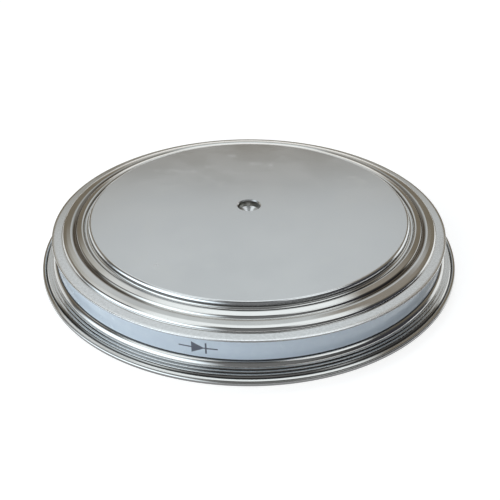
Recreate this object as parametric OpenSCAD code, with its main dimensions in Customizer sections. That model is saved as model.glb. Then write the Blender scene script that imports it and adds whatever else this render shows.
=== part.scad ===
// Press-pack disc diode: a flat power rectifier cell that is clamped between two busbars.
// Two copper pole pieces press on a silicon wafer. A ceramic ring insulates them, and two sheet
// metal flanges with pressed beads close the housing gas-tight and let the pole pieces settle.
// Millimetres, +Z up. The origin is the middle of the lower pole face.

/* [Cell] */
// Height from pole face to pole face
cell_height = 8; // [7.8:0.1:9]
// Diameter of each pole face, from which every other radius is built up
pole_face_d = 50; // [40:1:60]
// Radius of the rounded edge of a pole face
pole_edge_r = 0.5; // [0.3:0.05:0.6]
// How far the collar of a pole piece stands out past its face
collar_out = 0.85; // [0.5:0.05:0.95]

/* [Centring holes] */
// Diameter of the centring hole in each pole face
hole_d = 3.5; // [2.5:0.1:4]
// Depth of the centring hole, without its drill point
hole_depth = 1.1; // [0.8:0.1:1.4]
// Chamfer at the mouth of the centring hole
hole_chamfer = 0.15; // [0.05:0.05:0.3]
// Point angle of the drill
drill_angle = 118; // [110:1:135]

/* [Upper flange] */
// Thickness of the upper flange's sheet
upper_sheet = 0.2; // [0.15:0.01:0.25]
// Length of the flat seat on the pole piece's shoulder
seat_run = 0.4; // [0.3:0.02:0.5]
// Inside radius of the bend at the bead's foot
bead_foot_r = 0.1; // [0.05:0.01:0.15]
// Angle of the bead's inner wall
bead_rise = 55; // [45:1:65]
// Length of the bead's inner wall
bead_wall = 0.2; // [0.15:0.01:0.25]
// Inside radius of the bead's crown
bead_crown_r = 0.15; // [0.1:0.01:0.2]
// Outward fall of the bead's top, in degrees
bead_slope = 8; // [4:1:12]
// Length of the bead's top
bead_top = 0.58; // [0.5:0.02:0.7]
// Inside radius of the bend at the groove's mouth
groove_mouth_r = 0.14; // [0.1:0.01:0.18]
// Angle of the groove's inner wall
groove_fall = 62; // [55:1:70]
// Length of the groove's inner wall
groove_wall = 0.04; // [0.02:0.01:0.08]
// Inside radius of the groove's floor
groove_floor_r = 0.16; // [0.12:0.01:0.2]
// Rise of the groove's outer ramp, in degrees
groove_slope = 30; // [24:1:36]
// Length of the groove's outer ramp
groove_ramp = 0.08; // [0.04:0.01:0.12]
// Inside radius of the bend from the ramp to the flat annulus
annulus_bend_r = 0.7; // [0.5:0.05:0.9]
// Width of the flat annulus
annulus_w = 0.52; // [0.4:0.02:0.7]
// Inside radius of the roll from the annulus to its border
border_roll_r = 1.5; // [1:0.1:2]
// Outward fall of the border, in degrees
border_slope = 8; // [4:1:12]
// Width of the border
border_w = 0.36; // [0.25:0.01:0.45]
// Inside radius of the bend over the step
step_bend_r = 0.15; // [0.1:0.01:0.2]
// Angle of the step's wall
step_fall = 84; // [75:1:88]
// Inside radius of the bend at the lip's root
lip_bend_r = 0.08; // [0.05:0.01:0.12]
// How far the lip stands out past the ceramic
lip_overhang = 0.25; // [0.05:0.05:0.3]
// Depth of the brazing shoulder below the pole face
shoulder_drop = 1.1; // [1:0.05:1.2]
// Depth of the lip's top below the pole face
lip_drop = 1.35; // [1.3:0.05:1.5]

/* [Ceramic ring] */
// How far past the pole face the outside of the ceramic lies
ceramic_out = 5.2; // [5:0.1:5.6]
// Wall of the ceramic ring
ceramic_wall = 1.8; // [1.4:0.1:2]
// Radius of the ceramic ring's upper outer edge
ceramic_edge_r = 0.15; // [0.05:0.05:0.2]
// Chamfer of the ceramic ring's lower outer edge, where the braze gathers
ceramic_foot = 0.13; // [0.05:0.01:0.2]

/* [Weld ring] */
// Height from the welded seam to the ceramic, which fills the rest of the cell's height
weld_h = 1.4; // [1.2:0.1:1.8]
// Thickness of the lip under the ceramic and of the wall below it
weld_wall = 0.25; // [0.2:0.05:0.3]
// Outside radius of the round shoulder
shoulder_r = 0.75; // [0.6:0.05:0.8]
// How far the shoulder stands out past the ceramic
shoulder_out = 0.7; // [0.6:0.05:0.8]
// Number of turned steps between shoulder and brim
step_count = 3; // [2:1:4]
// Height of the first step above the seam
stairs_top = 0.89; // [0.8:0.01:0.95]
// Height of all the steps together
stairs_drop = 0.63; // [0.5:0.01:0.7]
// How far the first step stands out past the shoulder
first_tread = 0.17; // [0.1:0.01:0.25]
// How far the last step stands out past the shoulder
stairs_out = 0.83; // [0.7:0.01:0.9]
// Radius of the outer edge of one step
step_edge_r = 0.06; // [0.03:0.01:0.08]
// How far the crease lies outside the last step
crease_out = 0.22; // [0.1:0.01:0.25]
// Thickness left under the crease
crease_t = 0.11; // [0.08:0.01:0.14]

/* [Brim and lower flange] */
// How far past the pole face the brim reaches, the widest place of the cell
brim_out = 7.6; // [7.5:0.1:8.5]
// How far the upper half of the brim stands back from the lower one
brim_setback = 0.1; // [0.05:0.05:0.15]
// Height of the welded seam above the lower pole face
seam_z = 1.95; // [1.9:0.05:2.1]
// Thickness of the upper half of the brim at its ridge
brim_upper = 0.25; // [0.2:0.01:0.3]
// How far the ridge of the brim lies in from the edge of the upper half
ridge_in = 0.32; // [0.25:0.01:0.35]
// Fall of the brim's top from its ridge to its edge
ridge_drop = 0.05; // [0.02:0.01:0.08]
// Radius of the edge of the upper half
ridge_edge_r = 0.08; // [0.04:0.01:0.1]
// Thickness of the lower flange's sheet
lower_sheet = 0.45; // [0.35:0.05:0.5]
// Radius of the upper edge of the lower half of the brim
brim_edge_r = 0.2; // [0.1:0.02:0.24]
// Inside radius of the lower flange's small bends
lower_bend = 0.1; // [0.08:0.02:0.14]
// Gap from the lower pole piece's collar to the start of the joggle
joggle_gap = 0.15; // [0.05:0.05:0.3]
// Inside radius of the relief bead
relief_in_r = 0.2; // [0.15:0.05:0.25]
// How far past the pole face the relief bead runs
relief_out = 3.8; // [3.5:0.1:4.2]

/* [Stack inside] */
// Thickness of the lower pole piece
lower_pole_t = 2.8; // [2.6:0.1:3]
// Thickness of the molybdenum disc
molybdenum_t = 1.5; // [1.3:0.1:1.7]
// How far the molybdenum disc stays inside the pole face's edge
molybdenum_in = 0.5; // [0.2:0.1:0.8]
// Thickness of the silicon wafer
wafer_t = 0.3; // [0.25:0.05:0.4]
// How far the wafer's foot stays inside the molybdenum disc's edge
wafer_in = 0.7; // [0.5:0.1:1]
// Width of the bevel round the wafer's edge
wafer_bevel = 0.4; // [0.2:0.1:0.6]
// Width of rubber on the molybdenum disc, outside the wafer
rubber_foot = 0.5; // [0.3:0.1:0.5]
// Width of rubber that laps on to the wafer's top
rubber_lap = 0.1; // [0.05:0.05:0.2]
// Height of rubber above the wafer's top
rubber_rise = 0.15; // [0.1:0.05:0.2]
// Thickness of the contact disc on the wafer
contact_t = 0.2; // [0.15:0.05:0.25]
// Height of the relief round the upper pole piece's inner face
pole_relief = 0.3; // [0.2:0.05:0.4]
// Height of the centring ring
centring_h = 1.3; // [1:0.1:1.4]

/* [Fits] */
// Gap that the braze fills round a pole piece
braze_gap = 0.05; // [0.02:0.01:0.1]
// Film of braze between the upper flange's lip and the ceramic
braze_film = 0.01; // [0.005:0.005:0.03]
// Radial clearance of the centring ring
centring_gap = 0.1; // [0.05:0.05:0.15]
// Clearance from the contact disc to the rubber on the wafer's edge
contact_gap = 0.15; // [0.1:0.05:0.2]

/* [Hidden] */
$fn = 120;
bend_fn = 48;

// Radii, built up from the pole face
pole_r = pole_face_d / 2;
collar_r = pole_r + collar_out;
hole_r = hole_d / 2;
ceramic_r = pole_r + ceramic_out;
ceramic_in_r = ceramic_r - ceramic_wall;
wall_r = ceramic_r + shoulder_out;
wall_in_r = wall_r - weld_wall;
brim_r = pole_r + brim_out;
molybdenum_r = pole_r - molybdenum_in;
wafer_r = molybdenum_r - wafer_in;
wafer_top_r = wafer_r - wafer_bevel;
rubber_in_r = wafer_top_r - rubber_lap;
contact_r = rubber_in_r - contact_gap;

// Levels of the stack, from the lower pole face up
molybdenum_z = lower_pole_t;
wafer_z = molybdenum_z + molybdenum_t;
contact_z = wafer_z + wafer_t;
upper_pole_z = contact_z + contact_t;

// Levels of the housing
shoulder_z = cell_height - shoulder_drop;
lip_z = cell_height - lip_drop - upper_sheet;
ceramic_z = seam_z + weld_h;
ceramic_top = lip_z - braze_film;
lower_collar_z = seam_z - lower_sheet - 2 * lower_bend;

nickel_plate = [0.80, 0.80, 0.79];
nickel_iron = [0.74, 0.73, 0.71];
ceramic_white = [0.80, 0.86, 0.91];
molybdenum_grey = [0.55, 0.55, 0.57];
silicon_grey = [0.25, 0.27, 0.32];
rubber_red = [0.70, 0.30, 0.22];
silver = [0.86, 0.86, 0.85];
ptfe_white = [0.95, 0.95, 0.93];

// A straight stretch of a section: a rectangle from radius r0 to r1 and from z0 to z1
module run(r0, r1, z0, z1) {
    translate([r0, z0]) square([r1 - r0, z1 - z0]);
}

// A quarter turn of sheet round the centre (r, z). side and up are 1 or -1 and pick the quarter.
module bend(r, z, inside, sheet, side, up) {
    outside = inside + sheet;
    reach = 2 * outside;
    translate([r, z])
        intersection() {
            difference() {
                circle(r = outside, $fn = bend_fn);
                circle(r = inside, $fn = bend_fn);
            }
            translate([side > 0 ? 0 : -reach, up > 0 ? 0 : -reach]) square(reach);
        }
}

// Where a bent sheet's middle line goes in one move from at = [r, z, heading]. A move is a length to run,
// or [degrees, inside radius] for a bend, to the left where the degrees are positive.
function moved(at, sheet, move) =
    is_num(move)
    ? [at[0] + move * cos(at[2]), at[1] + move * sin(at[2]), at[2]]
    : let (side = move[0] > 0 ? 90 : -90, middle = move[1] + sheet / 2, turned = at[2] + move[0])
      [at[0] + middle * (cos(at[2] + side) - cos(turned + side)),
       at[1] + middle * (sin(at[2] + side) - sin(turned + side)),
       turned];

// Where the middle line is after all the moves
function walked(at, sheet, moves, i = 0) =
    i == len(moves) ? at : walked(moved(at, sheet, moves[i]), sheet, moves, i + 1);

// Section of a bent sheet that starts at the origin, going outward: its moves one after the other, each
// drawn where the one before it ends
module pressed(sheet, moves, i = 0) {
    if (i < len(moves)) {
        if (is_num(moves[i])) {
            translate([0, -sheet / 2]) square([moves[i], sheet]);
            translate([moves[i], 0]) pressed(sheet, moves, i + 1);
        } else {
            degrees = moves[i][0];
            inside = moves[i][1];
            outside = inside + sheet;
            to_middle = (degrees > 0 ? 1 : -1) * (inside + sheet / 2);
            translate([0, to_middle]) {
                intersection() {
                    difference() {
                        circle(r = outside, $fn = bend_fn);
                        circle(r = inside, $fn = bend_fn);
                    }
                    translate([0, -2 * outside]) square([2 * outside, 4 * outside]);
                    rotate(degrees) translate([-2 * outside, -2 * outside]) square([2 * outside, 4 * outside]);
                }
                rotate(degrees) translate([0, -to_middle]) pressed(sheet, moves, i + 1);
            }
        }
    }
}

// A rectangle as run() draws it, with one outer corner rounded: its top if up is 1, its foot if -1
module run_round(r0, r1, z0, z1, radius, up) {
    corner_z = up > 0 ? z1 - radius : z0 + radius;
    run(r0, r1 - radius, z0, z1);
    if (up > 0) run(r0, r1, z0, corner_z);
    else run(r0, r1, corner_z, z1);
    translate([r1 - radius, corner_z]) circle(r = radius, $fn = bend_fn);
}

// Cutter for a drilled centring hole with a chamfered mouth at z = 0, going down
module centring_hole() {
    mouth_r = hole_r + hole_chamfer;
    drill_point = hole_r / tan(drill_angle / 2);
    rotate_extrude()
        polygon([
            [0, hole_chamfer],
            [mouth_r + hole_chamfer, hole_chamfer],
            [hole_r, -hole_chamfer],
            [hole_r, -hole_depth],
            [0, -hole_depth - drill_point]
        ]);
}

// Turned copper disc, nickel-plated: face with a rounded edge, brazing shoulder, collar, and an inner
// face that is relieved outside the wafer's contact
module upper_pole_piece() {
    relief_z = upper_pole_z + pole_relief;
    color(nickel_plate)
        difference() {
            rotate_extrude() {
                run_round(0, pole_r, shoulder_z, cell_height, pole_edge_r, 1);
                run(0, collar_r, relief_z, shoulder_z);
                run(0, contact_r, upper_pole_z, relief_z);
            }
            translate([0, 0, cell_height]) centring_hole();
        }
}

// Pressed sheet ring: a seat on the pole piece's shoulder, a bead that lets the pole piece settle,
// a groove, a flat annulus with a falling border, a step, and a lip that is brazed on the ceramic
module upper_flange() {
    seat = [pole_r + braze_gap, shoulder_z + upper_sheet / 2, 0];
    beads = [
        seat_run, [bead_rise, bead_foot_r],
        bead_wall, [-bead_rise - bead_slope, bead_crown_r],
        bead_top, [bead_slope - groove_fall, groove_mouth_r],
        groove_wall, [groove_fall + groove_slope, groove_floor_r],
        groove_ramp, [-groove_slope, annulus_bend_r],
        annulus_w, [-border_slope, border_roll_r],
        border_w, [border_slope - step_fall, step_bend_r]
    ];
    step = walked(seat, upper_sheet, beads);
    root_drop = (lip_bend_r + upper_sheet / 2) * (1 - cos(step_fall));
    step_wall = (step[1] - lip_z - upper_sheet / 2 - root_drop) / sin(step_fall);
    root = [step_wall, [step_fall, lip_bend_r]];
    lip_w = ceramic_r + lip_overhang - walked(step, upper_sheet, root)[0];
    color(nickel_iron)
        rotate_extrude()
            translate([seat[0], seat[1]]) pressed(upper_sheet, concat(beads, root, [lip_w]));
}

// Sintered alumina ring, glazed on its outside, with a rounded edge above and a chamfer below
module ceramic_ring() {
    edge_r = ceramic_r - ceramic_edge_r;
    edge_z = ceramic_top - ceramic_edge_r;
    color(ceramic_white)
        rotate_extrude() {
            polygon([
                [ceramic_in_r, ceramic_z],
                [ceramic_r - ceramic_foot, ceramic_z],
                [ceramic_r, ceramic_z + ceramic_foot],
                [ceramic_r, edge_z],
                [edge_r, edge_z],
                [edge_r, ceramic_top],
                [ceramic_in_r, ceramic_top]
            ]);
            translate([edge_r, edge_z]) circle(r = ceramic_edge_r, $fn = bend_fn);
        }
}

// Turned ring brazed under the ceramic: lip, round shoulder, wall, turned steps, a crease, and the upper half
// of the brim, which falls a little from its ridge to its edge
module weld_ring() {
    bend_r = wall_r - shoulder_r;
    bend_z = ceramic_z - shoulder_r;
    step_rise = stairs_drop / step_count;
    step_tread = (stairs_out - first_tread) / (step_count - 1);
    stairs_r = wall_r + stairs_out;
    stairs_z = seam_z + stairs_top - stairs_drop;
    edge_r = brim_r - brim_setback;
    edge_z = seam_z + brim_upper - ridge_drop;
    color(nickel_plate)
        rotate_extrude() {
            run(ceramic_in_r + weld_wall, bend_r, ceramic_z - weld_wall, ceramic_z);
            bend(bend_r, bend_z, shoulder_r - weld_wall, weld_wall, 1, 1);
            run(wall_in_r, wall_r, seam_z, bend_z);
            for (i = [0:step_count - 1])
                run_round(wall_in_r, wall_r + first_tread + i * step_tread, seam_z,
                          seam_z + stairs_top - i * step_rise, step_edge_r, 1);
            polygon([
                [wall_in_r, seam_z],
                [edge_r, seam_z],
                [edge_r, edge_z - ridge_edge_r],
                [edge_r - ridge_edge_r, edge_z - ridge_edge_r],
                [edge_r - ridge_edge_r, edge_z],
                [edge_r - ridge_in, seam_z + brim_upper],
                [stairs_r + crease_out, seam_z + crease_t],
                [stairs_r, stairs_z],
                [wall_in_r, stairs_z]
            ]);
            translate([edge_r - ridge_edge_r, edge_z - ridge_edge_r]) circle(r = ridge_edge_r, $fn = bend_fn);
        }
}

// Pressed sheet ring: a seat under the lower pole piece's collar, a joggle up to the brim, a relief bead
// and the lower half of the brim, cold-welded to the weld ring
module lower_flange() {
    foot_z = seam_z - lower_sheet;
    bend_z = foot_z - lower_bend;
    joggle_r0 = collar_r + joggle_gap;
    joggle_r1 = joggle_r0 + 2 * lower_bend + lower_sheet;
    relief_r = pole_r + relief_out;
    relief_side = relief_in_r + lower_sheet + lower_bend;
    color(nickel_iron)
        rotate_extrude() {
            run(pole_r + braze_gap, joggle_r0, lower_collar_z - lower_sheet, lower_collar_z);
            bend(joggle_r0, bend_z, lower_bend, lower_sheet, 1, -1);
            bend(joggle_r1, bend_z, lower_bend, lower_sheet, -1, 1);
            run(joggle_r1, relief_r - relief_side, foot_z, seam_z);
            bend(relief_r - relief_side, bend_z, lower_bend, lower_sheet, 1, 1);
            bend(relief_r, bend_z, relief_in_r, lower_sheet, -1, -1);
            bend(relief_r, bend_z, relief_in_r, lower_sheet, 1, -1);
            bend(relief_r + relief_side, bend_z, lower_bend, lower_sheet, -1, 1);
            run_round(relief_r + relief_side, brim_r, foot_z, seam_z, brim_edge_r, 1);
        }
}

// Turned copper disc, nickel-plated: face with a rounded edge below, collar above
module lower_pole_piece() {
    color(nickel_plate)
        difference() {
            rotate_extrude() {
                run_round(0, pole_r, 0, lower_collar_z, pole_edge_r, -1);
                run(0, collar_r, lower_collar_z, lower_pole_t);
            }
            mirror([0, 0, 1]) centring_hole();
        }
}

// Carrier disc that the wafer is joined to
module molybdenum_disc() {
    color(molybdenum_grey)
        translate([0, 0, molybdenum_z]) cylinder(h = molybdenum_t, r = molybdenum_r);
}

// Silicon disc with a bevelled edge
module silicon_wafer() {
    color(silicon_grey)
        translate([0, 0, wafer_z]) cylinder(h = wafer_t, r1 = wafer_r, r2 = wafer_top_r);
}

// Cast silicone rubber that covers the wafer's bevel
module edge_passivation() {
    rubber_top = contact_z + rubber_rise;
    color(rubber_red)
        rotate_extrude()
            polygon([
                [wafer_r, wafer_z],
                [wafer_r + rubber_foot, wafer_z],
                [wafer_r + rubber_foot, contact_z],
                [wafer_r, rubber_top],
                [rubber_in_r, rubber_top],
                [rubber_in_r, contact_z],
                [wafer_top_r, contact_z]
            ]);
}

// Thin disc that carries the current from the wafer to the upper pole piece
module contact_disc() {
    color(silver)
        translate([0, 0, contact_z]) cylinder(h = contact_t, r = contact_r);
}

// Insulating ring that centres the molybdenum disc in the ceramic ring
module centring_ring() {
    color(ptfe_white)
        rotate_extrude()
            run(molybdenum_r + centring_gap, ceramic_in_r - centring_gap,
                molybdenum_z, molybdenum_z + centring_h);
}

upper_pole_piece();
upper_flange();
ceramic_ring();
weld_ring();
lower_flange();
lower_pole_piece();
molybdenum_disc();
silicon_wafer();
edge_passivation();
contact_disc();
centring_ring();
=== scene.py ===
from math import cos, pi, radians, sin

import bpy
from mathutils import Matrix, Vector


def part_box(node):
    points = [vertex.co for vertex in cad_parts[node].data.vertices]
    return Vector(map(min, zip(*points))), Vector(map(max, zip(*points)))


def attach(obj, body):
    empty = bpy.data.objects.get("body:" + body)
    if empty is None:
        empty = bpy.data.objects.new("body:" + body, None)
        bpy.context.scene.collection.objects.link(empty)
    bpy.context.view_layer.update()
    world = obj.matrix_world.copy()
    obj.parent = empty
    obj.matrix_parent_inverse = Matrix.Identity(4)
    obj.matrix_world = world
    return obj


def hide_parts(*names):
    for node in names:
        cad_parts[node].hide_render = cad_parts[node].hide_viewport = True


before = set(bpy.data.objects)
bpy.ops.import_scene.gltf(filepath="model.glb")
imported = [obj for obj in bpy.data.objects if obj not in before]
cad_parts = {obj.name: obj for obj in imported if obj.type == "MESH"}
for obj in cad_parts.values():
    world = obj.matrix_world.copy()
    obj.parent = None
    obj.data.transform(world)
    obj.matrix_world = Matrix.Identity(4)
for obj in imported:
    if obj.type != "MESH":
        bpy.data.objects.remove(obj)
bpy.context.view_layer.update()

# Upper pole piece
# A turned copper disc, nickel-plated and lapped flat to a satin face. Its edge is rounded, a drilled hole in
# its middle takes a centring pin, and its collar carries the brazed upper flange.
mm = 0.001
turns = 288
hold = 0.012 * mm
sharp_angle = 32


def arc(r, z, radius, start, end, steps=10):
    """Points on a quarter turn or other arc of a section, angles in degrees from the outward direction"""
    angles = [radians(start + (end - start) * i / steps) for i in range(steps + 1)]
    return [(r + radius * cos(a), z + radius * sin(a)) for a in angles]


def held(outline, closed):
    """The outline with a point close to each end of every flat stretch, which keeps the flat true"""
    points = []
    count = len(outline) if closed else len(outline) - 1
    for i in range(count):
        (r0, z0), (r1, z1) = outline[i], outline[(i + 1) % len(outline)]
        length = ((r1 - r0) ** 2 + (z1 - z0) ** 2) ** 0.5
        points.append((r0, z0))
        if length > 5 * hold:
            for share in (hold / length, 1 - hold / length):
                points.append((r0 + (r1 - r0) * share, z0 + (z1 - z0) * share))
    return points if closed else points + [outline[-1]]


def turn(name, outline, closed=True):
    """A solid turned round the axis from its section. An open section starts and ends on the axis."""
    outline = held(outline, closed)
    verts = []
    rings = []
    for r, z in outline:
        if r < hold / 10:
            rings.append([len(verts)] * turns)
            verts.append((0, 0, z))
        else:
            rings.append(list(range(len(verts), len(verts) + turns)))
            verts += [(r * cos(2 * pi * j / turns), r * sin(2 * pi * j / turns), z) for j in range(turns)]
    faces = []
    for i in range(len(rings) if closed else len(rings) - 1):
        low, high = rings[i], rings[(i + 1) % len(rings)]
        for j in range(turns):
            k = (j + 1) % turns
            corners = dict.fromkeys((low[j], low[k], high[k], high[j]))
            faces.append(list(corners))
    mesh = bpy.data.meshes.new(name)
    mesh.from_pydata(verts, [], faces)
    mesh.shade_smooth()
    mesh.set_sharp_from_angle(angle=radians(sharp_angle))
    piece = bpy.data.objects.new(name, mesh)
    bpy.context.scene.collection.objects.link(piece)
    return piece


class Socket:
    """A shader node's output that takes part in sums. Sums and add() put their nodes in the same tree."""

    def __init__(self, tree, link=None):
        self.tree = tree
        self.link = link

    def add(self, kind, settings, inputs, output=0):
        """A new node with these settings, and with values or other sockets on its inputs"""
        node = self.tree.nodes.new(kind)
        for name, value in settings.items():
            setattr(node, name, value)
        for name, value in inputs.items():
            if isinstance(value, Socket):
                self.tree.links.new(value.link, node.inputs[name])
            else:
                node.inputs[name].default_value = value
        return Socket(self.tree, node.outputs[output] if len(node.outputs) else None)

    def beside(self, output):
        """Another output of the same node"""
        return Socket(self.tree, self.link.node.outputs[output])

    def maths(self, operation, *others):
        return self.add("ShaderNodeMath", {"operation": operation}, dict(enumerate((self, *others))))

    def between(self, low, high):
        """0 below low, 1 above high, and smooth between them"""
        return self.add("ShaderNodeMapRange", {"interpolation_type": "SMOOTHSTEP"},
                        {"Value": self, "From Min": low, "From Max": high})

    def __add__(self, other):
        return self.maths("ADD", other)

    def __sub__(self, other):
        return self.maths("SUBTRACT", other)

    def __rsub__(self, other):
        return self.add("ShaderNodeMath", {"operation": "SUBTRACT"}, {0: other, 1: self})

    def __mul__(self, other):
        return self.maths("MULTIPLY", other)

    def __truediv__(self, other):
        return self.maths("DIVIDE", other)

    __radd__ = __add__
    __rmul__ = __mul__


def blank(name):
    """A new material with an empty tree, and a socket to start sums from"""
    material = bpy.data.materials.new(name)
    material.use_nodes = True
    material.node_tree.nodes.clear()
    return material, Socket(material.node_tree)


def place(start):
    """Where a point of the surface lies: its position, its radius, its turn round the axis, its height"""
    position = start.add("ShaderNodeTexCoord", {}, {}, "Object")
    x = position.add("ShaderNodeSeparateXYZ", {}, {"Vector": position}, "X")
    y = x.beside("Y")
    return position, (x * x + y * y).maths("SQRT"), y.maths("ARCTAN2", x), x.beside("Z")


def noise(position, size, detail=3.0, roughness=0.5):
    """Cloudy noise from 0 to 1 with features of that size"""
    return position.add("ShaderNodeTexNoise", {}, {"Vector": position, "Scale": 1 / size, "Detail": detail,
                                                   "Roughness": roughness}, "Fac")


def mixed(share, a, b):
    """A colour between two, by a value from 0 to 1. A colour is an (r, g, b) or a socket."""
    a, b = ((*colour, 1) if isinstance(colour, tuple) else colour for colour in (a, b))
    return share.add("ShaderNodeMix", {"data_type": "RGBA"}, {"Factor": share, "A": a, "B": b}, "Result")


def steepness(start):
    """0 on what lies flat, 1 on what stands upright"""
    normal = start.add("ShaderNodeNewGeometry", {}, {}, "Normal")
    upward = normal.add("ShaderNodeSeparateXYZ", {}, {"Vector": normal}, "Z")
    return 1 - upward.maths("ABSOLUTE").between(0.15, 0.5)


def surfaced(start, inputs):
    """Principled surface to the material's output"""
    surface = start.add("ShaderNodeBsdfPrincipled", {}, inputs)
    start.add("ShaderNodeOutputMaterial", {}, {"Surface": surface})


pole_low, pole_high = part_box("upper_pole_piece")
face_z = pole_high.z
collar_r = pole_high.x
pole_r = collar_r - 0.85 * mm
pole_edge_r = 0.5 * mm
shoulder_z = face_z - 1.1 * mm
contact_r = 23.15 * mm
pole_relief = 0.3 * mm
hole_r = 1.75 * mm
hole_chamfer = 0.15 * mm
hole_depth = 1.1 * mm
drill_point = 1.05 * mm
face_dull = (0.70, 0.71, 0.71)
face_bright = (0.75, 0.76, 0.76)
smudge_pale = (0.80, 0.81, 0.80)
side_painted_shade = (0.20, 0.20, 0.20)
hole_mouth_shade = (0.19, 0.18, 0.16)
hole_deep_shade = (0.62, 0.60, 0.56)

satin_nickel, start = blank("satin_nickel")
position, radius, angle, height = place(start)
blotch = noise(position, 9 * mm, 4.0)
smudge = noise(position, 3.5 * mm, 5.0, 0.6).between(0.56, 0.74)
grain = noise(position, 0.25 * mm, 2.0)
lap_marks = start.add("ShaderNodeBump", {}, {"Strength": 0.05, "Distance": 0.02 * mm, "Height": grain})
depth = face_z / 2 - (height - face_z / 2).maths("ABSOLUTE")
below_face = depth.between(0.001 * mm, 0.03 * mm)
bore = 1 - radius.between(hole_r, hole_r + hole_chamfer)
# Painted shade on the bore's wall: dark at its mouth, lighter deeper down.
bore_painted_shade = mixed(depth.between(0.3 * mm, 0.9 * mm), hole_mouth_shade, hole_deep_shade)
lapped = mixed(blotch.between(0.3, 0.7), face_dull, face_bright)
lapped = mixed(0.5 * smudge, lapped, smudge_pale)
# Painted shade: what stands upright is coloured dark, on the pole piece's sides as in its hole.
surfaced(start, {
    "Base Color": mixed(steepness(start), lapped, mixed(bore, side_painted_shade, bore_painted_shade)),
    "Metallic": 1.0,
    "Roughness": 0.18 + 0.04 * blotch.between(0.35, 0.65) - 0.08 * below_face + 0.16 * bore + 0.06 * smudge,
    "Normal": lap_marks,
})

upper_pole = turn("upper_pole", [
    (0, pole_low.z),
    (contact_r, pole_low.z),
    (contact_r, pole_low.z + pole_relief),
    (collar_r, pole_low.z + pole_relief),
    (collar_r, shoulder_z),
    (pole_r, shoulder_z),
    *arc(pole_r - pole_edge_r, face_z - pole_edge_r, pole_edge_r, 0, 90),
    (hole_r + hole_chamfer, face_z),
    (hole_r, face_z - hole_chamfer),
    (hole_r, face_z - hole_depth),
    (0, face_z - hole_depth - drill_point),
], closed=False)
upper_pole.data.materials.append(satin_nickel)
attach(upper_pole, "root")
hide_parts("upper_pole_piece")

# Upper flange
# A pressed ring of thin nickel-iron sheet, brightly plated: a seat brazed on the pole piece's shoulder, a
# bead that lets the pole piece settle, a groove, an annulus, a step, and a frosted lip brazed on the ceramic.
upper_sheet = 0.2 * mm
braze_gap = 0.05 * mm
seat_run = 0.4 * mm
bead_foot_r = 0.1 * mm
bead_rise = 55
bead_wall = 0.2 * mm
bead_crown_r = 0.15 * mm
bead_slope = 10
bead_top = 0.58 * mm
groove_mouth_r = 0.14 * mm
groove_fall = 62
groove_wall = 0.04 * mm
groove_floor_r = 0.16 * mm
groove_slope = 30
groove_ramp = 0.08 * mm
annulus_bend_r = 0.7 * mm
annulus_slope = 6
annulus_w = 0.52 * mm
border_roll_r = 1.5 * mm
border_slope = 9
border_w = 0.28 * mm
step_bend_r = 0.28 * mm
step_fall = 84
lip_bend_r = 0.08 * mm
lip_edge_r = 0.07 * mm
lip_roll_r = 2 * mm
lip_roll = 13
flange_low, flange_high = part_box("upper_flange")
lip_z = flange_low.z
lip_r = flange_high.x
ceramic_in_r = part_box("ceramic_ring")[1].x - 1.8 * mm
frost_start_r = ceramic_in_r + 0.72 * mm
frost_full_r = ceramic_in_r + 0.80 * mm
groove_r = ceramic_in_r - 1.35 * mm
groove_shade_core = 0.15 * mm
groove_shade_reach = 0.55 * mm
sheet_dull = (0.66, 0.655, 0.635)
sheet_bright = (0.71, 0.705, 0.685)
frost_dull = (0.79, 0.80, 0.80)
frost_bright = (0.88, 0.89, 0.89)
groove_painted_shade = (0.14, 0.115, 0.085)
wall_painted_shade = (0.22, 0.22, 0.22)


def moved(at, sheet, move):
    """Where a bent sheet's middle line goes in one move from at = (r, z, heading). A move is a length to run,
    or (degrees, inside radius) for a bend, to the left where the degrees are positive."""
    r, z, heading = at
    if not isinstance(move, tuple):
        return r + move * cos(radians(heading)), z + move * sin(radians(heading)), heading
    degrees, inside = move
    side = 90 if degrees > 0 else -90
    middle = inside + sheet / 2
    turned = heading + degrees
    return (r + middle * (cos(radians(heading + side)) - cos(radians(turned + side))),
            z + middle * (sin(radians(heading + side)) - sin(radians(turned + side))), turned)


def walked(at, sheet, moves):
    """Every place on the middle line of a bent sheet, with bends taken in small steps"""
    places = [at]
    for move in moves:
        steps = max(1, round(abs(move[0]) / 9)) if isinstance(move, tuple) else 1
        part = (move[0] / steps, move[1]) if isinstance(move, tuple) else move
        for _ in range(steps):
            places.append(moved(places[-1], sheet, part))
    return places


def pressed(at, sheet, moves):
    """Closed section of a bent sheet: its underside from start to end, then its top back again"""
    places = walked(at, sheet, moves)
    half = sheet / 2
    under = [(r + half * sin(radians(h)), z - half * cos(radians(h))) for r, z, h in places]
    top = [(r - half * sin(radians(h)), z + half * cos(radians(h))) for r, z, h in places]
    return under + top[::-1]


bright_nickel, start = blank("bright_nickel")
position, radius, angle, height = place(start)
cloud = noise(position, 6 * mm, 3.0)
grain = noise(position, 0.35 * mm, 3.0)
front = (-1 * angle).maths("SINE")
# The lip is frosted, paler and rougher, all round; its frost grows stronger towards the front, partly a
# painted highlight on the camera's side.
lip = radius.between(frost_start_r, frost_full_r) * (0.2 + 0.8 * front.between(-0.1, 0.4))
# Painted shade: a dark brown band along the groove, at the sides only, towards neither front nor back.
in_groove = 1 - (radius - groove_r).maths("ABSOLUTE").between(groove_shade_core, groove_shade_reach)
at_sides = 1 - front.maths("ABSOLUTE").between(0.79, 0.93)
plated = mixed(cloud.between(0.3, 0.7), sheet_dull, sheet_bright)
plated = mixed(0.9 * (in_groove * at_sides), plated, groove_painted_shade)
frosted = mixed(grain.between(0.3, 0.7), frost_dull, frost_bright)
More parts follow.
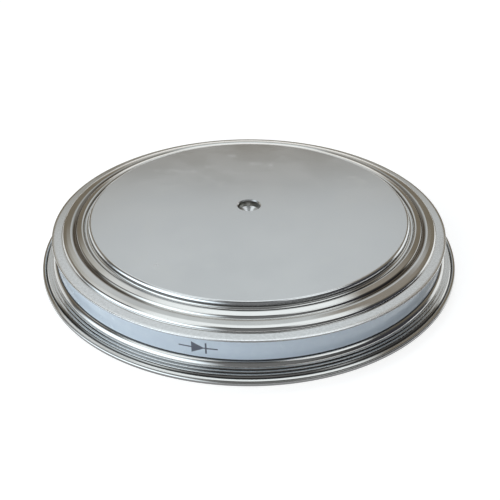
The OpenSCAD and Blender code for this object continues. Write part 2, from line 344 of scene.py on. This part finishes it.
# Painted shade: the flange's upright walls and steep bends are coloured dark.
surfaced(start, {
    "Base Color": mixed(steepness(start), mixed(lip, plated, frosted), wall_painted_shade),
    "Metallic": 1.0,
    "Roughness": 0.08 + 0.04 * cloud.between(0.35, 0.65) + 0.14 * lip,
})

seat_r = pole_r + braze_gap
seat = (seat_r, shoulder_z + upper_sheet / 2, 0)
beads = [
    seat_run, (bead_rise, bead_foot_r),
    bead_wall, (-bead_rise - bead_slope, bead_crown_r),
    bead_top, (bead_slope - groove_fall, groove_mouth_r),
    groove_wall, (groove_fall + groove_slope, groove_floor_r),
    groove_ramp, (-groove_slope - annulus_slope, annulus_bend_r),
    annulus_w, (annulus_slope - border_slope, border_roll_r),
    border_w, (border_slope - step_fall, step_bend_r),
]
step = walked(seat, upper_sheet, beads)[-1]
root_drop = (lip_bend_r + upper_sheet / 2) * (1 - cos(radians(step_fall)))
step_wall = (step[1] - lip_z - upper_sheet / 2 - root_drop) / sin(radians(step_fall))
root = [step_wall, (step_fall, lip_bend_r)]
root_r = walked(step, upper_sheet, root)[-1][0]

# The lip's top rolls down to a rounded edge. Each arc stops just short of the next, so no two points meet.
roll_start_r = lip_r - lip_roll_r * sin(radians(lip_roll))
lip_edge_z = lip_z + upper_sheet - lip_roll_r * (1 - cos(radians(lip_roll)))
flange_section = pressed(seat, upper_sheet, beads + root + [roll_start_r - root_r])
lip_end = len(flange_section) // 2
flange_section[lip_end:lip_end] = [
    (lip_r, lip_z),
    *arc(lip_r - lip_edge_r, lip_edge_z - lip_edge_r, lip_edge_r, 0, 80 - lip_roll, 6),
    *arc(roll_start_r, lip_z + upper_sheet - lip_roll_r, lip_roll_r, 93 - lip_roll, 89, 6),
]
upper_flange = turn("bead_flange", flange_section)
upper_flange.data.materials.append(bright_nickel)
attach(upper_flange, "root")
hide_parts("upper_flange")

# Upper braze
# The small hollow fillet that the braze metal leaves where the flange's seat meets the side of the pole
# piece. It was drawn in by the heat of the furnace and is plated with the rest.
upper_fillet = 0.28 * mm
seat_top = shoulder_z + upper_sheet
upper_braze = turn("upper_braze", [
    (pole_r, seat_top),
    (pole_r + upper_fillet, seat_top),
    *arc(pole_r + upper_fillet, seat_top + upper_fillet, upper_fillet, -90, -180),
])
upper_braze.data.materials.append(bright_nickel)
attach(upper_braze, "root")

# Ceramic ring
# The insulator: a ring of sintered alumina with small rounded edges, glazed on its outside, where a plain
# diode symbol is printed. Its end faces are brazed to the flange above and to the weld ring below.
ceramic_low, ceramic_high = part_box("ceramic_ring")
ceramic_r = ceramic_high.x
ceramic_edge_r = 0.15 * mm
ceramic_foot = 0.13 * mm
symbol_z = (ceramic_low.z + ceramic_high.z) / 2
symbol_left = 7.0 * mm
symbol_w = 1.7 * mm
symbol_h = 1.7 * mm
symbol_lead = 1.6 * mm
lead_half = 0.08 * mm
bar_w = 0.25 * mm
ink_edge = 0.04 * mm
ink_depth = 0.1 * mm
ink_blue_black = (0.02, 0.025, 0.06)
glaze_dull = (0.73, 0.81, 0.90)
glaze_bright = (0.76, 0.84, 0.92)


def inside(value, low, high):
    """1 between low and high, with soft edges"""
    return value.between(low, low + ink_edge) * (1 - value.between(high - ink_edge, high))


glazed_alumina, start = blank("glazed_alumina")
position, radius, angle, height = place(start)
speck = noise(position, 1.2 * mm, 3.0)
along = (angle + pi / 2) * ceramic_r + symbol_left
above = (height - symbol_z).maths("ABSOLUTE")
slant = above / (symbol_h / 2) + along / symbol_w
lead = inside(along, -symbol_lead, symbol_w + symbol_lead)
lead = lead * (1 - above.between(lead_half, lead_half + ink_edge))
arrow = inside(along, 0, symbol_w) * (1 - slant.between(0.97, 1.03))
bar = inside(along, symbol_w, symbol_w + bar_w) * (1 - above.between(symbol_h / 2 - ink_edge, symbol_h / 2))
ink = lead.maths("MAXIMUM", arrow.maths("MAXIMUM", bar)) * radius.between(ceramic_r - ink_depth, ceramic_r)
glaze = mixed(speck.between(0.35, 0.65), glaze_dull, glaze_bright)
surfaced(start, {
    "Base Color": mixed(0.93 * ink, glaze, ink_blue_black),
    "Roughness": 0.22 + 0.08 * speck,
    "Coat Weight": 0.5,
    "Coat Roughness": 0.06,
})

ceramic = turn("ceramic", [
    (ceramic_in_r, ceramic_low.z),
    (ceramic_r - ceramic_foot, ceramic_low.z),
    (ceramic_r, ceramic_low.z + ceramic_foot),
    *arc(ceramic_r - ceramic_edge_r, ceramic_high.z - ceramic_edge_r, ceramic_edge_r, 0, 90),
    (ceramic_in_r, ceramic_high.z),
])
ceramic.data.materials.append(glazed_alumina)
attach(ceramic, "root")
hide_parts("ceramic_ring")

# Weld ring
# A turned ring, nickel-plated, brazed under the ceramic. Below its lip it has a round shoulder, three fine
# turned steps and the upper half of the brim, which is cold-welded to the lower flange.
weld_low, weld_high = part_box("weld_ring")
weld_wall = 0.25 * mm
shoulder_r = 0.75 * mm
shoulder_start = 19
shoulder_tuck = 0.04 * mm
wall_r = ceramic_r + 0.7 * mm
seam_z = weld_low.z
step_count = 3
stairs_top = seam_z + 0.89 * mm
stairs_drop = 0.63 * mm
first_tread = 0.17 * mm
stairs_out = 0.83 * mm
step_edge_r = 0.06 * mm
crease_r = wall_r + stairs_out + 0.22 * mm
crease_z = seam_z + 0.11 * mm
brim_upper = 0.25 * mm
ridge_in = 0.32 * mm
ridge_drop = 0.05 * mm
ridge_edge_r = 0.08 * mm
ridge_round_r = 0.1 * mm
ridge_outer = 78
ridge_inner = 142
turned_dull = (0.62, 0.615, 0.595)
turned_bright = (0.67, 0.665, 0.645)
crease_painted_shade = (0.10, 0.10, 0.09)
step_rise = stairs_drop / step_count
step_tread = (stairs_out - first_tread) / (step_count - 1)
bend_r = wall_r - shoulder_r
bend_z = weld_high.z - shoulder_r
ridge_r = weld_high.x - ridge_in + 0.2 * ridge_round_r
edge_z = seam_z + brim_upper - ridge_drop

turned_nickel, start = blank("turned_nickel")
position, radius, angle, height = place(start)
cloud = noise(position, 6 * mm, 3.0)
plated = mixed(cloud.between(0.3, 0.7), turned_dull, turned_bright)
# Painted shade: a near-black band in the crease where the brim's ridge meets the steps.
crease = height.between(seam_z + 0.02 * mm, seam_z + 0.05 * mm)
crease = crease * (1 - height.between(crease_z + 0.02 * mm, crease_z + 0.10 * mm))
# Painted shade: the ring's upright walls are coloured dark.
surfaced(start, {
    "Base Color": mixed(crease, mixed(steepness(start), plated, wall_painted_shade), crease_painted_shade),
    "Metallic": 1.0,
    "Roughness": 0.09 + 0.04 * cloud.between(0.35, 0.65),
})

stairs = []
for i in range(step_count - 1, -1, -1):
    tread_z = stairs_top - i * step_rise
    tread_r = wall_r + first_tread + i * step_tread
    stairs.append((tread_r, tread_z - step_rise))
    stairs += arc(tread_r - step_edge_r, tread_z - step_edge_r, step_edge_r, 0, 90, 6)
weld_ring = turn("stepped_ring", [
    (wall_r - weld_wall, seam_z),
    (weld_high.x, seam_z),
    *arc(weld_high.x - ridge_edge_r, edge_z - ridge_edge_r, ridge_edge_r, 0, ridge_outer, 6),
    *arc(ridge_r, seam_z + brim_upper - ridge_round_r, ridge_round_r, ridge_outer, ridge_inner, 6),
    (crease_r, crease_z),
    *stairs,
    (wall_r - shoulder_tuck, stairs_top),
    *arc(bend_r, bend_z, shoulder_r, shoulder_start, 90),
    (ceramic_in_r + weld_wall, weld_high.z),
    (ceramic_in_r + weld_wall, weld_high.z - weld_wall),
    *arc(bend_r, bend_z, shoulder_r - weld_wall, 90, 0),
])
weld_ring.data.materials.append(turned_nickel)
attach(weld_ring, "root")
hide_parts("weld_ring")

# Lower braze
# The braze fillet in the hollow between the ceramic's foot and the weld ring. It is coloured near black,
# painted shade for the shadowed hollow.
braze_out = 0.14 * mm
braze_sag = 0.03 * mm
shade_black = (0.012, 0.013, 0.015)
shade_grey = (0.03, 0.03, 0.03)
braze_painted_shade, start = blank("braze_painted_shade")
mottle = noise(place(start)[0], 0.8 * mm, 3.0)
surfaced(start, {
    "Base Color": mixed(mottle, shade_black, shade_grey),
    "Roughness": 0.45 + 0.2 * mottle,
})
lower_braze = turn("lower_braze", [
    (ceramic_r - ceramic_foot, weld_high.z),
    (ceramic_r + braze_out, weld_high.z - braze_sag),
    (ceramic_r, ceramic_low.z + ceramic_foot),
])
lower_braze.data.materials.append(braze_painted_shade)
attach(lower_braze, "root")

# Lower flange
# A pressed ring of thicker nickel-iron sheet: a seat brazed under the lower pole piece's collar, a joggle,
# a relief bead, and the lower half of the brim.
lower_sheet = 0.45 * mm
lower_bend = 0.1 * mm
relief_in_r = 0.2 * mm
joggle_r = collar_r + 0.15 * mm
relief_r = pole_r + 3.8 * mm
relief_side = relief_in_r + lower_sheet + lower_bend
lower_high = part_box("lower_flange")[1]
lower_collar_z = lower_high.z - lower_sheet - 2 * lower_bend
brim_edge_r = 0.2 * mm
brim_section = pressed((seat_r, lower_collar_z - lower_sheet / 2, 0), lower_sheet, [
    joggle_r - seat_r,
    (90, lower_bend),
    (-90, lower_bend),
    relief_r - relief_side - joggle_r - 2 * lower_bend - lower_sheet,
    (-90, lower_bend),
    (180, relief_in_r),
    (-90, lower_bend),
    lower_high.x - relief_r - relief_side - brim_edge_r,
])
brim_end = len(brim_section) // 2
brim_section[brim_end:brim_end] = [
    (lower_high.x, lower_high.z - lower_sheet),
    *arc(lower_high.x - brim_edge_r, lower_high.z - brim_edge_r, brim_edge_r, 0, 80, 8),
]
lower_flange = turn("relief_flange", brim_section)
lower_flange.data.materials.append(turned_nickel)
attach(lower_flange, "root")
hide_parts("lower_flange")

# Lower pole piece
# The same copper disc the other way up, turned, plated and lapped, with its own centring hole. Its collar
# is brazed into the lower flange.
lower_pole_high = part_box("lower_pole_piece")[1]
lower_pole = turn("lower_pole", [
    (0, hole_depth + drill_point),
    (hole_r, hole_depth),
    (hole_r, hole_chamfer),
    (hole_r + hole_chamfer, 0),
    *arc(pole_r - pole_edge_r, pole_edge_r, pole_edge_r, -90, 0),
    (pole_r, lower_collar_z),
    (collar_r, lower_collar_z),
    (collar_r, lower_pole_high.z),
    (0, lower_pole_high.z),
], closed=False)
lower_pole.data.materials.append(satin_nickel)
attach(lower_pole, "root")
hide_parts("lower_pole_piece")

# Stack inside
# What the closed housing hides: a lapped molybdenum disc, the silicon wafer on it with rubber round its
# edge, a silver-faced contact disc, and a PTFE ring that keeps the stack in the middle. They keep their form.
for node, (dark, light), metallic, rough in [
    ("molybdenum_disc", ((0.30, 0.30, 0.32), (0.36, 0.36, 0.38)), 1.0, 0.35),
    ("silicon_wafer", ((0.10, 0.11, 0.14), (0.13, 0.14, 0.17)), 0.8, 0.12),
    ("edge_passivation", ((0.36, 0.08, 0.05), (0.42, 0.10, 0.06)), 0.0, 0.55),
    ("contact_disc", ((0.74, 0.74, 0.72), (0.80, 0.80, 0.78)), 1.0, 0.3),
    ("centring_ring", ((0.80, 0.80, 0.78), (0.85, 0.85, 0.83)), 0.0, 0.5),
]:
    inner, start = blank(node + "_surface")
    cloud = noise(place(start)[0], 2 * mm)
    surfaced(start, {"Base Color": mixed(cloud, dark, light), "Metallic": metallic, "Roughness": rough})
    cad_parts[node].data.materials.clear()
    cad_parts[node].data.materials.append(inner)

# Floor
# A plain white table under the cell. Seen by the camera and in the metal it is white, and it keeps a little
# of the shadow.
floor_size = 1.5
floor_gap = 0.02 * mm
floor_grey = (0.6, 0.6, 0.6, 1)
floor_glow = 0.7
floor_mesh = bpy.data.meshes.new("floor")
floor_mesh.from_pydata([(-floor_size, -floor_size, 0), (floor_size, -floor_size, 0),
                        (floor_size, floor_size, 0), (-floor_size, floor_size, 0)], [], [(0, 1, 2, 3)])
floor = bpy.data.objects.new("floor", floor_mesh)
floor.location.z = -floor_gap
bpy.context.scene.collection.objects.link(floor)
white_table, start = blank("white_table")
by_camera = start.add("ShaderNodeLightPath", {}, {}, "Is Camera Ray")
in_metal = by_camera.beside("Is Glossy Ray")
through = by_camera.beside("Is Transmission Ray")
seen = by_camera.maths("MAXIMUM", in_metal.maths("MAXIMUM", through))
shaded = start.add("ShaderNodeBsdfDiffuse", {}, {"Color": floor_grey})
glow = start.add("ShaderNodeEmission", {}, {"Color": (1, 1, 1, 1), "Strength": floor_glow})
bright = start.add("ShaderNodeAddShader", {}, {0: shaded, 1: glow})
table = start.add("ShaderNodeMixShader", {}, {"Fac": seen, 1: shaded, 2: bright})
start.add("ShaderNodeOutputMaterial", {}, {"Surface": table})
floor_mesh.materials.append(white_table)

# Light
# A soft tent painted in layers, each over those before it. It is brown and dim low down behind the cell,
# silver above that, white overhead and along the horizon, with a window on the left and a dark right side.
world = bpy.data.worlds.new("tent")
world.use_nodes = True
world.node_tree.nodes.clear()
bpy.context.scene.world = world
start = Socket(world.node_tree)
way = start.add("ShaderNodeTexCoord", {}, {}, "Generated")


def softbox(azimuth, elevation, full, fade):
    """1 within full degrees of a direction, 0 past fade degrees. Azimuth 0 lies behind the cell, 90 right."""
    a, e = radians(azimuth), radians(elevation)
    aim = (sin(a) * cos(e), cos(a) * cos(e), sin(e))
    near = way.add("ShaderNodeVectorMath", {"operation": "DOT_PRODUCT"}, {0: way, 1: aim}, "Value")
    return near.between(cos(radians(fade)), cos(radians(full)))


night = (0.08, 0.08, 0.08)
brown = (0.23, 0.20, 0.155)
silver = (0.68, 0.71, 0.73)
side_silver = (0.66, 0.69, 0.71)
overhead = (1.20, 1.27, 1.31)
horizon = (1.08, 1.08, 1.06)
tent = mixed(softbox(0, 10, 50, 80), night, brown)
for box, colour in [
    # A dim glow on the camera's side
    ((180, 36, 20, 44), (0.20, 0.205, 0.21)),
    # The silver that the flat metal mirrors, with a brown gap on its right and a pale patch on its left
    ((-16, 45, 13, 21), (0.58, 0.58, 0.55)),
    ((6, 41, 12, 18), silver),
    ((-8, 40, 11, 17), silver),
    ((14, 37, 10, 13.5), side_silver),
    ((-13, 38, 10, 13), side_silver),
    ((0, 50, 10, 16), (0.66, 0.70, 0.72)),
    ((30, 46, 7, 13), (0.33, 0.30, 0.26)),
    ((-40, 48, 6, 11), (0.92, 0.95, 0.97)),
    # White panels overhead, which draw the bright lines on the bends
    ((0, 69, 9, 16), overhead),
    ((24, 61, 7, 13), overhead),
    ((-24, 61, 7, 13), overhead),
    ((95, 66, 10, 17), (1.20, 1.26, 1.30)),
    ((265, 66, 11, 18), (1.25, 1.32, 1.35)),
    # The bright horizon, behind and at both sides
    ((10, -3, 13, 21), horizon),
    ((-10, -3, 13, 21), horizon),
    ((58, 5, 13, 21), (1.15, 1.18, 1.20)),
    ((300, 3, 12, 22), (0.90, 0.92, 0.92)),
    # The cool window on the left, and the dark right side
    ((237, 14, 20, 46), (1.98, 2.22, 2.42)),
    ((100, 14, 18, 32), (0.05, 0.05, 0.06)),
]:
    tent = mixed(softbox(*box), tent, colour)
background = start.add("ShaderNodeBackground", {}, {"Color": tent, "Strength": 1.0})
start.add("ShaderNodeOutputWorld", {}, {"Surface": background})

# Camera
# Close and a little above, looking down on the cell from the front, framed as a square of 500 pixels.
# The cell's axis lies a pixel left of the picture's middle.
lens_px = 584.5
image_px = 500
axis_px = 248.94
sensor = 36.0
camera_back = 81.7 * mm
camera_above = 44.9 * mm
camera_down = 33.18
camera_data = bpy.data.cameras.new("camera")
camera_data.sensor_width = sensor
camera_data.lens = sensor * lens_px / image_px
camera_data.shift_x = (image_px / 2 - axis_px) / image_px
camera_data.clip_start = 0.005
camera = bpy.data.objects.new("camera", camera_data)
camera.location = (0, -camera_back, face_z + camera_above)
camera.rotation_euler = (radians(90 - camera_down), 0, 0)
bpy.context.scene.collection.objects.link(camera)
bpy.context.scene.camera = camera
bpy.context.scene.view_settings.view_transform = "Standard"
